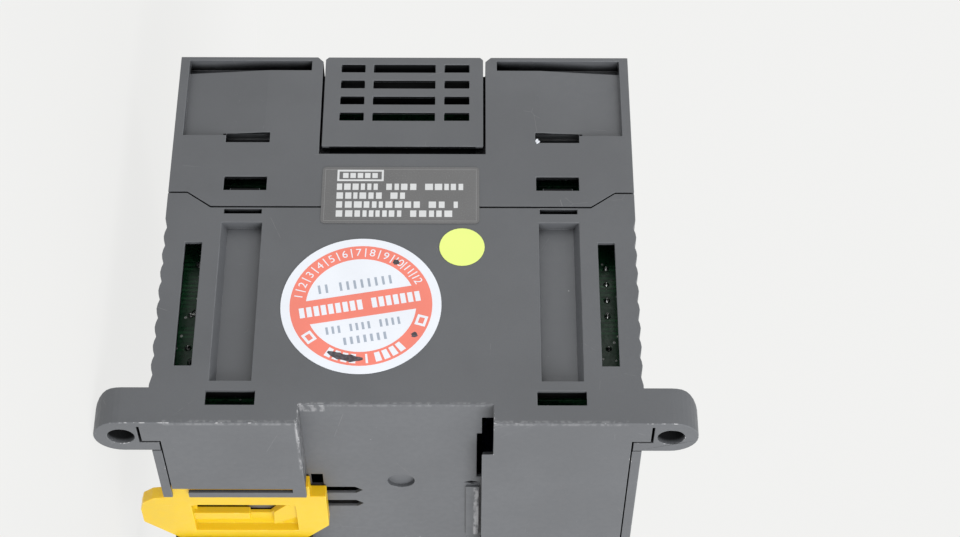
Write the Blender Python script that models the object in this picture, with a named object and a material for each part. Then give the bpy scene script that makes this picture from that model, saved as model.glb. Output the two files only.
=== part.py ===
"""Rail-mounted controller module: moulded case, hinged covers, boards, terminals and rail latch.

Sizes are in millimetres until they reach place(), which turns them into metres.
x runs across the module, d is the distance forward of the rear plane, z is up.
The right side face is at +x and the front faces -Y. The origin is on the floor of the
rail channel, at the rail's centre line and half way across the width.
"""

import math

import bmesh
import bpy
from mathutils import Matrix, Vector

MM = 0.001

# Overall case
WIDTH = 70.0
HEIGHT = 90.0
DEPTH = 85.0
WALL = 2.0
GAP = 0.3
SIDE = WIDTH / 2
TOP = HEIGHT / 2
INNER = SIDE - WALL

# Rail channel across the rear face
CHANNEL_HALF = 17.7
CHANNEL_DEPTH = 3.9
PLATE_HALF = 43.0
WALL_PIECE_IN = 43.2

# Mounting ears, and the relief slit at the root of each
EAR_WIDTH = 10.0
EAR_THICK = 7.5
EAR_HOLE_Z = 50.0
EAR_HOLE_R = 2.5
EAR_FILLET = 3.0
SLIT = 0.45
SLIT_Z = 46.4
SLIT_OUT = 1.5
SLIT_IN = 6.7

# Seam between the rear and front mouldings, as it runs over a side face
SEAM_LOW = 47.7
SEAM_HIGH = 51.1
SEAM_LOW_HALF = 36.6
SEAM_HIGH_HALF = 41.3
SEAM_GAP = 0.35

# Grip ribs along the upper and lower edges
RIB_FIRST = 10.25
RIB_PITCH = 4.09
RIB_COUNT = 8
RIB_RISE = 0.45
RIB_STEPS = 4

# Centre cover and the ventilation slots in its sides
COVER_HALF = 15.85
COVER_REAR = 62.5
COVER_OPENING_HALF = 16.3
COVER_OPENING_REAR = 60.65
COVER_PLATE = 2.5
VENT_HEIGHT = 2.05
VENT_FIRST = 68.85
VENT_PITCH = 4.08
VENT_ROWS = 4
VENT_COLUMNS = ((-12.6, -7.8), (-6.1, 6.3), (8.1, 13.1))

# Front case
CHEEK_IN = 30.3
CHEEK_REAR = 66.3
END_WALL_FRONT = 67.6
DECK_REAR = 59.5
PARTITION_OUT = 18.2
POCKET_DEPTH = 3.2
POCKET_RAMP = 1.3
RECESS_DEPTH = 2.2
SKIN = 0.7
RELIEF = 0.7

# Hinged terminal covers
LID_HINGE_Z = 19.9
LID_HINGE_D = 83.7
LID_HALF_THICK = 1.1
LID_HALF_WIDTH = 30.0
LID_SKIRT_REAR = 68.0
LID_PIN_R = 0.7

# Terminals
TERMINALS = 9
TERMINAL_PITCH = 6.5
BLOCK_IN = 24.0
BLOCK_OUT = 42.6
BLOCK_REAR = DECK_REAR + WALL + GAP
BLOCK_STEP = 71.0
BLOCK_FRONT = 77.0
BARRIER = 1.2
SCREW_Z = 30.5

# Rail latch
LEVER_BACK = 1.1
LEVER_FRONT = 3.6
LEVER_REAR_END = -50.3
LIP = 0.8
LATCH_POCKET = (-13.0, 10.1)
LATCH_WINDOW = (-11.9, 6.5)
LATCH_LOW = -12.7
LATCH_HIGH = 9.8

# Access door over the port and the mode switch
DOOR_LEFT = 8.0
DOOR_RIGHT = 29.8
DOOR_HALF = 11.7
DOOR_HINGE_X = 28.9
DOOR_HINGE_D = 83.9
DOOR_HALF_THICK = 0.9
PORT_X = 19.0
PORT_Z = 4.5
SWITCH_Z = -6.5

# Boards
BOARD = 1.6
SIDE_BOARD_IN = 28.0
SIDE_BOARD_HALF = 41.5
TERMINAL_BOARD_REAR = 56.0
INDICATOR_BOARD_REAR = 74.0

ROUND = 32


def place(x, d, z):
    """Millimetres across, forward and up, as a point in metres."""
    return Vector((x * MM, (CHANNEL_DEPTH - d) * MM, z * MM))


def along_x(a, b, h):
    """Outline in z and d, extruded across the module."""
    return place(h, b, a)


def along_d(a, b, h):
    """Outline in x and z, extruded forward."""
    return place(a, h, b)


def along_z(a, b, h):
    """Outline in x and d, extruded upward."""
    return place(a, b, h)


def add_prism(bm, outline, low, high, axis):
    """Add one closed prism to a mesh under construction."""
    start = [bm.verts.new(axis(a, b, low)) for a, b in outline]
    end = [bm.verts.new(axis(a, b, high)) for a, b in outline]
    faces = [bm.faces.new(start), bm.faces.new(end)]
    for i in range(len(outline)):
        j = (i + 1) % len(outline)
        faces.append(bm.faces.new((start[i], start[j], end[j], end[i])))
    bmesh.ops.recalc_face_normals(bm, faces=faces)


def rectangle(a, b):
    """Corners of the rectangle that spans two ranges."""
    return [(a[0], b[0]), (a[1], b[0]), (a[1], b[1]), (a[0], b[1])]


def circle(a, b, radius, steps=ROUND):
    """Points of a circle about (a, b)."""
    turn = 2 * math.pi / steps
    return [(a + radius * math.cos(i * turn), b + radius * math.sin(i * turn)) for i in range(steps)]


def rounded(a, b, radius, steps=4):
    """Rectangle with rounded corners."""
    centres = (
        (a[1] - radius, b[1] - radius, 0),
        (a[0] + radius, b[1] - radius, 1),
        (a[0] + radius, b[0] + radius, 2),
        (a[1] - radius, b[0] + radius, 3),
    )
    points = []
    for ca, cb, quarter in centres:
        for i in range(steps + 1):
            angle = math.pi / 2 * (quarter + i / steps)
            points.append((ca + radius * math.cos(angle), cb + radius * math.sin(angle)))
    return points


def solid(name, *prisms):
    """Object made of separate closed prisms, each (outline, low, high, axis)."""
    bm = bmesh.new()
    for outline, low, high, axis in prisms:
        add_prism(bm, outline, low, high, axis)
    mesh = bpy.data.meshes.new(name)
    bm.to_mesh(mesh)
    bm.free()
    made = bpy.data.objects.new(name, mesh)
    bpy.context.scene.collection.objects.link(made)
    return made


def block(x, d, z):
    """Prism for a box spanning three ranges."""
    return rectangle(x, d), z[0], z[1], along_z


def reshape(target, tool, operation):
    """Join a tool to the target or cut it away, and keep the result as a plain mesh."""
    step = target.modifiers.new("shape", "BOOLEAN")
    step.operation = operation
    step.solver = "EXACT"
    step.object = tool
    graph = bpy.context.evaluated_depsgraph_get()
    shaped = bpy.data.meshes.new_from_object(target.evaluated_get(graph))
    target.modifiers.clear()
    target.data = shaped
    bpy.data.objects.remove(tool)


def join(target, *prisms):
    """Join prisms to the target one after another."""
    for prism in prisms:
        reshape(target, solid("tool", prism), "UNION")


def cut(target, *prisms):
    """Cut separate prisms out of the target together."""
    reshape(target, solid("tool", *prisms), "DIFFERENCE")


def material(name, colour, roughness, metallic=0.0):
    """Plain surface shared by the pieces that use it."""
    made = bpy.data.materials.new(name)
    made.use_nodes = True
    surface = made.node_tree.nodes["Principled BSDF"]
    surface.inputs["Base Color"].default_value = (*colour, 1.0)
    surface.inputs["Roughness"].default_value = roughness
    surface.inputs["Metallic"].default_value = metallic
    return made


def finish(piece, surface):
    """Name the mesh, give it its own surface and shade its round walls smooth."""
    piece.data.name = piece.name
    piece.data.materials.clear()
    piece.data.materials.append(material(piece.name, *surface))
    piece.data.shade_smooth()
    piece.data.set_sharp_from_angle(angle=math.radians(35))
    return piece


def set_origin(piece, x, d, z):
    """Move the piece's origin to a point without moving the piece."""
    pivot = place(x, d, z)
    piece.data.transform(Matrix.Translation(-pivot))
    piece.location = pivot


CASE = ((0.060, 0.064, 0.070), 0.55)
REAR = ((0.075, 0.078, 0.082), 0.6)
LEVER = ((0.90, 0.52, 0.03), 0.45)
BLACK = ((0.010, 0.010, 0.011), 0.45)
SHEET = ((0.008, 0.008, 0.010), 0.25)
PAPER = ((0.82, 0.80, 0.78), 0.5)
LIME = ((0.70, 0.80, 0.12), 0.55)
PCB = ((0.02, 0.16, 0.06), 0.4)
CREAM = ((0.62, 0.58, 0.48), 0.5)
STEEL = ((0.60, 0.60, 0.62), 0.3, 0.95)
FERRITE = ((0.05, 0.05, 0.055), 0.7)
TAPE = ((0.55, 0.40, 0.05), 0.5)
SLEEVE = ((0.02, 0.03, 0.08), 0.35)
RELAY = ((0.02, 0.05, 0.14), 0.4)
SMOKE = ((0.10, 0.10, 0.11), 0.15)
CLEAR = ((0.75, 0.78, 0.80), 0.15)


def rib_points():
    """Distances and rises of the convex grip ribs, from the rear towards the front."""
    points = []
    for rib in range(RIB_COUNT):
        for step in range(RIB_STEPS):
            part = step / RIB_STEPS
            d = RIB_FIRST + RIB_PITCH * (rib + part)
            points.append((d, TOP - RIB_RISE * (1 - math.sin(math.pi * part))))
    points.append((RIB_FIRST + RIB_PITCH * RIB_COUNT, TOP - RIB_RISE))
    return points


def ribbed_edge(sign):
    """One long edge of a side face from the rear plane to the seam, as (z, d)."""
    points = [(sign * TOP, 0.0), (sign * TOP, RIB_FIRST - RIB_PITCH / 2)]
    points += [(sign * z, d) for d, z in rib_points()]
    points += [(sign * TOP, RIB_FIRST + RIB_PITCH * (RIB_COUNT + 0.5)), (sign * TOP, SEAM_HIGH)]
    return points


def seam_line(shift):
    """The seam over a side face from the lower edge to the upper one, as (z, d)."""
    return [
        (-SEAM_HIGH_HALF, SEAM_HIGH + shift),
        (-SEAM_LOW_HALF, SEAM_LOW + shift),
        (SEAM_LOW_HALF, SEAM_LOW + shift),
        (SEAM_HIGH_HALF, SEAM_HIGH + shift),
    ]


def both(prism_for):
    """The prisms a function gives for the right side and the left side."""
    return [prism for side in (1, -1) for prism in prism_for(side)]


def span(side, low, high):
    """Range on one side of the middle plane, in rising order."""
    return tuple(sorted((side * low, side * high)))


def rear_section():
    """Rear plate with the rail channel folded into it, as (z, d)."""
    a = CHANNEL_HALF
    b = CHANNEL_HALF + WALL
    floor = CHANNEL_DEPTH + WALL
    return [
        (-PLATE_HALF, 0), (-a, 0), (-a, CHANNEL_DEPTH), (a, CHANNEL_DEPTH), (a, 0), (PLATE_HALF, 0),
        (PLATE_HALF, WALL), (b, WALL), (b, floor), (-b, floor), (-b, WALL), (-PLATE_HALF, WALL),
    ]


def rear_case():
    """Side walls, rear plate and rail channel in one moulding."""
    case = solid("rear_case", (rear_section(), -SIDE + 0.5, SIDE - 0.5, along_x))
    outline = ribbed_edge(-1) + seam_line(0) + ribbed_edge(1)[::-1]
    for side in (1, -1):
        join(case, (outline, *span(side, INNER, SIDE), along_x))
        for end in (1, -1):
            add_ear(case, side, end)
            join(case, block(span(side, INNER - 1.7, INNER + 0.5), (7.5, 45.6), span(end, 25.0, 35.6)))
            join(case, *snap_tongue(side, end))
    join(case, block((-15.0, 17.5), (WALL / 2, CHANNEL_DEPTH + WALL), (-42.5, -CHANNEL_HALF - 1)))
    cut(case, block((-SIDE - 1, SIDE + 1), (-1, CHANNEL_DEPTH), (-CHANNEL_HALF, CHANNEL_HALF)))
    cut_latch_guide(case)
    add_fixed_hooks(case)
    for opening in both(side_openings):
        cut(case, opening)
    cut(case, *both(side_recesses))
    cut(case, block((INNER - 3, SIDE + 1), (45.9, SEAM_LOW + 1), (-13.0, 13.0)))
    return finish(case, REAR)


def snap_tongue(side, end):
    """Tongue with a barb that catches in the front moulding's slot."""
    width = span(end, 27.4, 33.2)
    return [
        block(span(side, 31.0, 32.7), (43.5, 52.7), width),
        block(span(side, 32.4, 34.4), (52.05, 52.7), width),
    ]


def ear_outline(side, end):
    """Ear in x and z: a stadium end, and a root split by the relief slit."""
    slit = SIDE - SLIT_IN - SLIT
    points = [
        (SIDE, 42.0), (SIDE, EAR_HOLE_Z), *ear_arc(), (SIDE - EAR_WIDTH, EAR_HOLE_Z),
        (SIDE - EAR_WIDTH, 43.3), (slit, 43.3), (slit, SLIT_Z + SLIT), (SIDE - SLIT_OUT, SLIT_Z + SLIT),
        (SIDE - SLIT_OUT, SLIT_Z), (slit + SLIT, SLIT_Z), (slit + SLIT, 42.0),
    ]
    return [(side * x, end * z) for x, z in points]


def ear_arc():
    """Inner points of the half circle that closes an ear."""
    radius = EAR_WIDTH / 2
    steps = ROUND // 2
    angles = [math.pi * i / steps for i in range(1, steps)]
    return [(SIDE - radius + radius * math.cos(a), EAR_HOLE_Z + radius * math.sin(a)) for a in angles]


def add_ear(case, side, end):
    """Mounting ear at one rear corner, with its hole and its rounded front edge."""
    join(case, (ear_outline(side, end), 0.0, EAR_THICK, along_d))
    hole = circle(side * (SIDE - EAR_WIDTH / 2), end * EAR_HOLE_Z, EAR_HOLE_R, 28)
    cut(case, (hole, -1.0, EAR_THICK + 1, along_d))
    centre_z = EAR_HOLE_Z + EAR_WIDTH / 2 - EAR_FILLET
    centre_d = EAR_THICK - EAR_FILLET
    corner = [(centre_z, EAR_THICK + 1)]
    for i in range(7):
        angle = math.pi / 2 * (1 - i / 6)
        corner.append((centre_z + EAR_FILLET * math.cos(angle), centre_d + EAR_FILLET * math.sin(angle)))
    corner += [(centre_z + EAR_FILLET + 1, centre_d), (centre_z + EAR_FILLET + 1, EAR_THICK + 1)]
    outline = [(end * z, d) for z, d in corner]
    cut(case, (outline, *span(side, SIDE - EAR_WIDTH - 1, SIDE + 1), along_x))


def cut_latch_guide(case):
    """Pocket, lips and relief slots that carry the rail latch."""
    cut(case, block(LATCH_POCKET, (LIP, CHANNEL_DEPTH), (-44.0, -17.0)))
    cut(case, block(LATCH_WINDOW, (-1, LIP + 0.5), (-44.0, -17.0)))
    cut(case, block((6.0, 9.9), (-1, LIP + 0.5), (-44.0, -40.1)))
    cut(case, block((8.3, 9.8), (-1, LIP + 0.5), (-41.0, -20.2)))
    cut(case, block((-5.4, 9.6), (CHANNEL_DEPTH + SKIN, CHANNEL_DEPTH + WALL + 1), (-17.2, -6.2)))
    cut(case, block((4.2, 8.8), (CHANNEL_DEPTH - 1, CHANNEL_DEPTH + WALL + 1), (-17.0, -14.7)))
    for left, right in ((1.1, 3.6), (-4.3, -1.8)):
        middle = (left + right) / 2
        slot = [(left, -16.5), (right, -16.5), (right, -8.7), (middle, -7.3), (left, -8.7)]
        cut(case, (slot, CHANNEL_DEPTH - 1, CHANNEL_DEPTH + WALL + 1, along_d))


def add_fixed_hooks(case):
    """Fixed hook on the channel's upper edge, its core holes, the contact rib, a gate mark and dimple."""
    lip = [(-23.6, 0), (23.6, 0), (20.6, 1.6), (-20.6, 1.6)]
    join(case, (lip, 15.6, CHANNEL_HALF + 0.8, along_z))
    through = (CHANNEL_DEPTH - 1, CHANNEL_DEPTH + WALL + 1)
    for side in (1, -1):
        behind = (CHANNEL_DEPTH + SKIN, CHANNEL_DEPTH + WALL + 1)
        cut(case, block(span(side, 6.0, 32.5), behind, (14.0, 18.7)))
        cut(case, block(span(side, 16.5, 30.3), through, (15.6, CHANNEL_HALF + 0.5)))
    cut(case, block((7.8, 24.5), through, (14.7, 15.8)))
    join(case, block((-15.5, 4.6), (CHANNEL_DEPTH - 0.5, CHANNEL_DEPTH + 0.5), (12.6, 15.1)))
    mark = [(5.6, 12.3), (5.1, 13.7), (5.6, 15.1), (6.2, 13.7)]
    cut(case, (mark, CHANNEL_DEPTH - 1, CHANNEL_DEPTH + 1.2, along_d))
    cut(case, (circle(6.1, 0.2, 2.6, 24), CHANNEL_DEPTH - 1, CHANNEL_DEPTH + 0.9, along_d))


def thin_opening(side, d, z):
    """Opening in a side wall that is thinned from the inside around it."""
    wide_d = (d[0] - RELIEF, d[1] + RELIEF)
    wide_z = (z[0] - RELIEF, z[1] + RELIEF)
    relief = block(span(side, INNER - 1, SIDE - SKIN), wide_d, wide_z)
    return [relief, block(span(side, INNER - 4, SIDE + 1), d, z)]


def side_openings(side):
    """Through openings in one side wall of the rear moulding."""
    skin = span(side, INNER - 0.2, SIDE + 1)
    openings = []
    for end in (1, -1):
        openings.append(block(skin, (46.25, 47.4), span(end, 26.7, 33.9)))
        openings += thin_opening(side, (3.85, 6.8), span(end, 25.6, 34.6))
        openings += thin_opening(side, (12.1, 39.6), span(end, 37.6, 40.8))
    return openings


def side_recesses(side):
    """Long shallow recesses in one side wall, each with a sloped outer wall."""
    out = SIDE + 1
    floor = SIDE - RECESS_DEPTH
    section = [(out, 26.4), (floor, 26.6), (floor, 33.2), (SIDE, 34.2), (out, 34.7)]
    recesses = []
    for end in (1, -1):
        recesses.append(([(side * x, end * z) for x, z in section], 8.9, 44.2, along_d))
    return recesses


def wall_outline(sign):
    """Section of a ribbed end wall, as (z, d)."""
    return ribbed_edge(sign) + [(sign * WALL_PIECE_IN, SEAM_HIGH), (sign * WALL_PIECE_IN, 0.0)]


def end_wall(name, sign):
    """Ribbed end wall that closes the rear moulding between its side walls."""
    wall = solid(name, (wall_outline(sign), -INNER + GAP, INNER - GAP, along_x))
    for side in (1, -1):
        ear = span(side, SIDE - EAR_WIDTH - GAP, SIDE)
        cut(wall, block(ear, (-1, EAR_THICK + GAP), span(sign, 42.0, TOP + 1)))
    if sign < 0:
        cut(wall, block(LATCH_POCKET, (LIP, CHANNEL_DEPTH + 0.1), (-TOP - 1, -42.0)))
        cut(wall, block(LATCH_WINDOW, (-1, LIP + 0.5), (-TOP - 1, -42.0)))
    return finish(wall, REAR)


def front_case():
    """Front moulding: side walls, end walls, decks, partitions and cheeks."""
    rim = [(TOP, SEAM_HIGH + SEAM_GAP), (TOP, DEPTH), (-TOP, DEPTH), (-TOP, SEAM_HIGH + SEAM_GAP)]
    outline = seam_line(SEAM_GAP) + rim
    case = solid("front_case", (outline, INNER, SIDE, along_x))
    deck = ((-SIDE + 0.5, SIDE - 0.5), (DECK_REAR, DECK_REAR + WALL))
    join(case, block(*deck, (PARTITION_OUT - 1, TOP - 1)))
    join(case, (outline, -SIDE, -INNER, along_x))
    join(case, block(*deck, (1 - TOP, 1 - PARTITION_OUT)))
    for end in (1, -1):
        end_z = span(end, TOP - WALL, TOP)
        join(case, block((-INNER - 0.5, INNER + 0.5), (SEAM_HIGH + SEAM_GAP, END_WALL_FRONT), end_z))
        partition = span(end, COVER_OPENING_HALF, PARTITION_OUT)
        join(case, block((-INNER - 0.5, INNER + 0.5), (DECK_REAR, DEPTH), partition))
        for side in (1, -1):
            cheek_x = span(side, CHEEK_IN, INNER + 0.5)
            join(case, block(cheek_x, (CHEEK_REAR, DEPTH), span(end, COVER_OPENING_HALF + 0.4, TOP)))
    height = (-COVER_OPENING_HALF, COVER_OPENING_HALF)
    opening = block((-SIDE - 1, SIDE + 1), (COVER_OPENING_REAR, DEPTH + 1), height)
    cut(case, opening)
    for side in (1, -1):
        ledge = span(side, 30.8, 32.4)
        join(case, block(ledge, (COVER_OPENING_REAR - 2, 66.0), (-PARTITION_OUT + 1, PARTITION_OUT - 1)))
        for end in (1, -1):
            join(case, block(ledge, (65.0, 82.2), span(end, 15.2, PARTITION_OUT - 0.5)))
    for slot in both(front_slots):
        cut(case, slot)
    for side in (1, -1):
        for end in (1, -1):
            for pocket in corner_pocket(side, end):
                cut(case, pocket)
            cut(case, lid_pin_hole(side, end))
    cut(case, block((INNER - 3, SIDE + 1), (SEAM_LOW - 1, 56.0), (-13.0, 13.0)))
    bevel_edges(case, COVER_OPENING_HALF - 0.1, 1.2)
    return finish(case, CASE)


def bevel_edges(piece, z, size):
    """Chamfer the piece's two front edges that start at z and -z; a negative size leans inward."""
    for end in (1, -1):
        inset = math.copysign(0.1, size)
        corner = [(z, DEPTH - abs(size)), (z + size + inset, DEPTH + 0.1), (z, DEPTH + 0.1)]
        outline = [(end * a, d) for a, d in corner]
        cut(piece, (outline, -SIDE - 1, SIDE + 1, along_x))


def front_slots(side):
    """Snap and cooling slots in one side wall of the front moulding."""
    slots = []
    for end in (1, -1):
        slots += thin_opening(side, (63.45, 65.95), span(end, 26.1, 34.7))
        slots += thin_opening(side, (51.85, 55.1), span(end, 26.1, 34.4))
    return slots


def corner_pocket(side, end):
    """Finger pocket in a front corner that slopes down outward, with a deep groove along its front."""
    deep = side * (SIDE - POCKET_RAMP)
    out = side * (SIDE + 1)
    ramp = [(out, end * 27.2), (side * SIDE, end * 27.2), (deep, end * 43.2), (out, end * 43.2)]
    groove = block(span(side, SIDE - POCKET_DEPTH, SIDE + 1), (81.65, 84.1), span(end, 18.6, 43.2))
    return (ramp, 65.2, 84.1, along_d), groove


def lid_pin_hole(side, end):
    """Blind hole in a cheek for a cover's hinge pin."""
    low, high = span(side, CHEEK_IN - 0.5, CHEEK_IN + 1.2)
    return circle(end * LID_HINGE_Z, LID_HINGE_D, LID_PIN_R + 0.2, 16), low, high, along_x


def vent_slots():
    """Ventilation slots in both sides of the centre cover."""
    slots = []
    for row in range(VENT_ROWS):
        d = VENT_FIRST + row * VENT_PITCH
        for column in VENT_COLUMNS:
            for side in (1, -1):
                slots.append(block(span(side, INNER - 1, SIDE + 1), (d, d + VENT_HEIGHT), column))
    return slots


def centre_cover():
    """Front centre panel with its vented side flaps, lens opening and door tray."""
    front = (DEPTH - COVER_PLATE, DEPTH)
    cover = solid("centre_cover", block((-SIDE, SIDE), front, (-COVER_HALF, COVER_HALF)))
    for side in (1, -1):
        join(cover, block(span(side, INNER, SIDE), (COVER_REAR, DEPTH), (-COVER_HALF, COVER_HALF)))
    join(cover, block((6.2, 31.8), (79.4, DEPTH - 1), (-13.4, 13.4)))
    for side in (1, -1):
        panel = span(side, INNER - 1, SIDE - SKIN)
        cut(cover, block(panel, (VENT_FIRST - 1.2, 82.0), (-14.2, 14.2)))
        cut(cover, block(panel, (COVER_REAR - 1, COVER_REAR + 1.2), (-COVER_HALF - 1, COVER_HALF + 1)))
    cut(cover, *vent_slots())
    cut(cover, block((-29.3, 1.3), (80.0, DEPTH + 1), (-4.3, 11.3)))
    across = (DOOR_LEFT - GAP, DOOR_RIGHT + 0.5)
    cut(cover, block(across, (80.6, DEPTH + 1), (-DOOR_HALF - GAP, DOOR_HALF + GAP)))
    cut(cover, (circle(PORT_X, PORT_Z, 5.1), 79.0, 81.0, along_d))
    cut(cover, block((14.4, 22.6), (79.0, 81.0), (SWITCH_Z - 1.2, SWITCH_Z + 1.2)))
    pins = (circle(DOOR_HINGE_X, DOOR_HINGE_D, 0.7, 16), -DOOR_HALF - 1.1, DOOR_HALF + 1.1, along_z)
    cut(cover, pins)
    bevel_edges(cover, COVER_HALF + 0.1, -0.7)
    return finish(cover, CASE)


def terminal_lid(name, sign):
    """Hinged cover over one terminal row, with its end skirt and hinge pins."""
    inner = LID_HINGE_Z - LID_HALF_THICK
    plate_d = (LID_HINGE_D - LID_HALF_THICK, LID_HINGE_D + LID_HALF_THICK)
    lid = solid(name, block((-LID_HALF_WIDTH, LID_HALF_WIDTH), plate_d, span(sign, inner, TOP - 0.1)))
    skirt_d = (LID_SKIRT_REAR, plate_d[1])
    skirt = block((-LID_HALF_WIDTH, LID_HALF_WIDTH), skirt_d, span(sign, 43.3, TOP - 0.1))
    join(lid, skirt)
    reach = CHEEK_IN + 0.9
    join(lid, (circle(sign * LID_HINGE_Z, LID_HINGE_D, LID_PIN_R, 16), -reach, reach, along_x))
    grip = block((-9.0, 9.0), (plate_d[1] - 0.7, plate_d[1] + 1), span(sign, 39.5, 42.0))
    cut(lid, grip)
    wires = []
    for x in terminal_positions():
        notch_d = (LID_SKIRT_REAR - 1, LID_SKIRT_REAR + 5)
        wires.append(block((x - 2.1, x + 2.1), notch_d, span(sign, 42.5, TOP + 1)))
    cut(lid, *wires)
    set_origin(lid, 0.0, LID_HINGE_D, sign * LID_HINGE_Z)
    return finish(lid, CASE)


def terminal_positions():
    """Positions across the module of the terminals in a row."""
    middle = (TERMINALS - 1) / 2
    return [(i - middle) * TERMINAL_PITCH for i in range(TERMINALS)]


def terminal_block(name, sign):
    """Terminal row: a base with screw wells and wire mouths, and barriers between ways."""
    half = CHEEK_IN - 0.7
    block_z = span(sign, BLOCK_IN, BLOCK_OUT)
    body = solid(name, block((-half, half), (BLOCK_REAR, BLOCK_STEP), block_z))
    edges = [x - TERMINAL_PITCH / 2 for x in terminal_positions()]
    edges.append(edges[-1] + TERMINAL_PITCH)
    for x in edges:
        wall = (x - BARRIER / 2, x + BARRIER / 2)
        join(body, block(wall, (BLOCK_STEP - 1, BLOCK_FRONT), block_z))
    holes = []
    for x in terminal_positions():
        holes.append((circle(x, sign * SCREW_Z, 1.6, 16), 64.0, BLOCK_STEP + 1, along_d))
    cut(body, *holes)
    mouths = []
    for x in terminal_positions():
        mouths.append(block((x - 1.9, x + 1.9), (66.0, 69.6), span(sign, 37.0, BLOCK_OUT + 1)))
    cut(body, *mouths)
    return finish(body, BLACK)


def terminal_screw(name, x, sign):
    """Clamp screw with its captive square plate and a slotted head."""
    z = sign * SCREW_Z
    top = BLOCK_STEP + GAP
    plate = block((x - 2.3, x + 2.3), (top, top + 0.8), (z - 3.2, z + 3.2))
    screw = solid(name, plate)
    join(screw, (circle(x, z, 2.1, 20), top + 0.4, top + 2.8, along_d))
    join(screw, (circle(x, z, 1.2, 12), 65.0, top + 0.5, along_d))
    cut(screw, block((x - 0.3, x + 0.3), (top + 1.9, top + 4), (z - 3, z + 3)))
    cut(screw, block((x - 3, x + 3), (top + 1.9, top + 4), (z - 0.3, z + 0.3)))
    return finish(screw, STEEL)


def latch_outline():
    """Outline of the rail latch in x and z: narrow pull tab, guided edges and chamfered hook."""
    tab = [(LATCH_LOW, -43.7), (-5.6, LEVER_REAR_END), (-0.6, LEVER_REAR_END), (2.1, -49.6)]
    shoulder = [(3.9, -47.6), (4.3, -45.2), (LATCH_HIGH, -44.6), (LATCH_HIGH, -39.9)]
    waist = [(5.3, -39.9), (5.3, -19.6), (8.7, -19.6), (8.7, -17.2)]
    head = [(4.85, -17.2), (4.85, -14.2), (-7.1, -14.2), (LATCH_LOW, -19.0)]
    return tab + shoulder + waist + head


def din_lever():
    """Rail latch: pull tab, flat bar with a spring window, and rail hook."""
    lever = solid("din_lever", (latch_outline(), LEVER_BACK, LEVER_FRONT, along_d))
    cut(lever, block((-9.3, 0.9), (LEVER_BACK - 1, 2.8), (-40.4, -20.3)))
    hole = [(1.3, -39.8), (1.3, -21.4), (-5.0, -25.6), (-5.0, -39.8)]
    cut(lever, (hole, 0.5, LEVER_FRONT + 1, along_d))
    join(lever, block((-5.8, -3.4), (1.8, 3.3), (-40.8, -29.5)))
    ramp = [(1.8, -20.6), (1.8, -19.7), (-4.5, -19.7), (-7.9, -25.0), (-3.1, -24.8)]
    join(lever, (ramp, 1.8, 3.1, along_d))
    return finish(lever, LEVER)


def plate_on_side(name, outline, surface, thick):
    """Thin sheet stuck on the right side face."""
    lift = 0.03
    return finish(solid(name, (outline, SIDE + lift, SIDE + lift + thick, along_x)), surface)


def access_door():
    """Hinged door over the port and the mode switch."""
    plate_d = (DOOR_HINGE_D - DOOR_HALF_THICK, DOOR_HINGE_D + DOOR_HALF_THICK)
    door = solid("port_cover", block((DOOR_LEFT, DOOR_RIGHT), plate_d, (-DOOR_HALF, DOOR_HALF)))
    pin = (circle(DOOR_HINGE_X, DOOR_HINGE_D, 0.5, 16), -DOOR_HALF - 0.8, DOOR_HALF + 0.8, along_z)
    join(door, pin)
    cut(door, block((DOOR_LEFT + 1, DOOR_LEFT + 2.4), (plate_d[1] - 0.6, plate_d[1] + 1), (-5.0, 5.0)))
    set_origin(door, DOOR_HINGE_X, DOOR_HINGE_D, 0.0)
    return finish(door, CASE)


def indicator_lens():
    """Smoked window over the indicator lights, held by a flange behind the panel."""
    lens = solid("indicator_lens", block((-29.0, 1.0), (81.0, DEPTH - 0.2), (-4.0, 11.0)))
    join(lens, block((-30.2, 2.2), (81.2, DEPTH - COVER_PLATE - GAP), (-5.2, 12.2)))
    return finish(lens, SMOKE)


def light_pipe():
    """Comb that carries light from the board to the window."""
    pipe = solid("light_pipe", block((-27.5, -0.5), (76.2, 77.6), (0.0, 7.0)))
    for i in range(8):
        x = -26.0 + i * 3.4
        join(pipe, block((x - 0.8, x + 0.8), (77.0, 80.7), (1.5, 5.5)))
    return finish(pipe, CLEAR)


def port_pieces():
    """Round socket shell and its contact insert."""
    shell = solid("port_shell", (circle(PORT_X, PORT_Z, 4.8), 75.9, 82.0, along_d))
    cut(shell, (circle(PORT_X, PORT_Z, 4.3), 75.0, 83.0, along_d))
    finish(shell, STEEL)
    insert = solid("port_insert", (circle(PORT_X, PORT_Z, 4.0), 75.9, 80.5, along_d))
    holes = []
    for i in range(8):
        angle = math.radians(20 + i * 40)
        x = PORT_X + 2.5 * math.cos(angle)
        z = PORT_Z + 2.5 * math.sin(angle)
        holes.append((circle(x, z, 0.45, 8), 78.5, 81.0, along_d))
    cut(insert, *holes)
    finish(insert, BLACK)


def mode_switch():
    """Slide switch: fixed body and the moving actuator."""
    body = solid("mode_switch_body", block((13.0, 25.0), (75.9, 79.1), (SWITCH_Z - 2.6, SWITCH_Z + 2.6)))
    cut(body, block((14.5, 22.5), (77.3, 80.0), (SWITCH_Z - 1.0, SWITCH_Z + 1.0)))
    finish(body, STEEL)
    slider_z = (SWITCH_Z - 0.7, SWITCH_Z + 0.7)
    slider = solid("mode_switch_slider", block((15.0, 18.0), (77.6, 81.8), slider_z))
    set_origin(slider, 16.5, 79.7, SWITCH_Z)
    finish(slider, BLACK)


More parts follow.
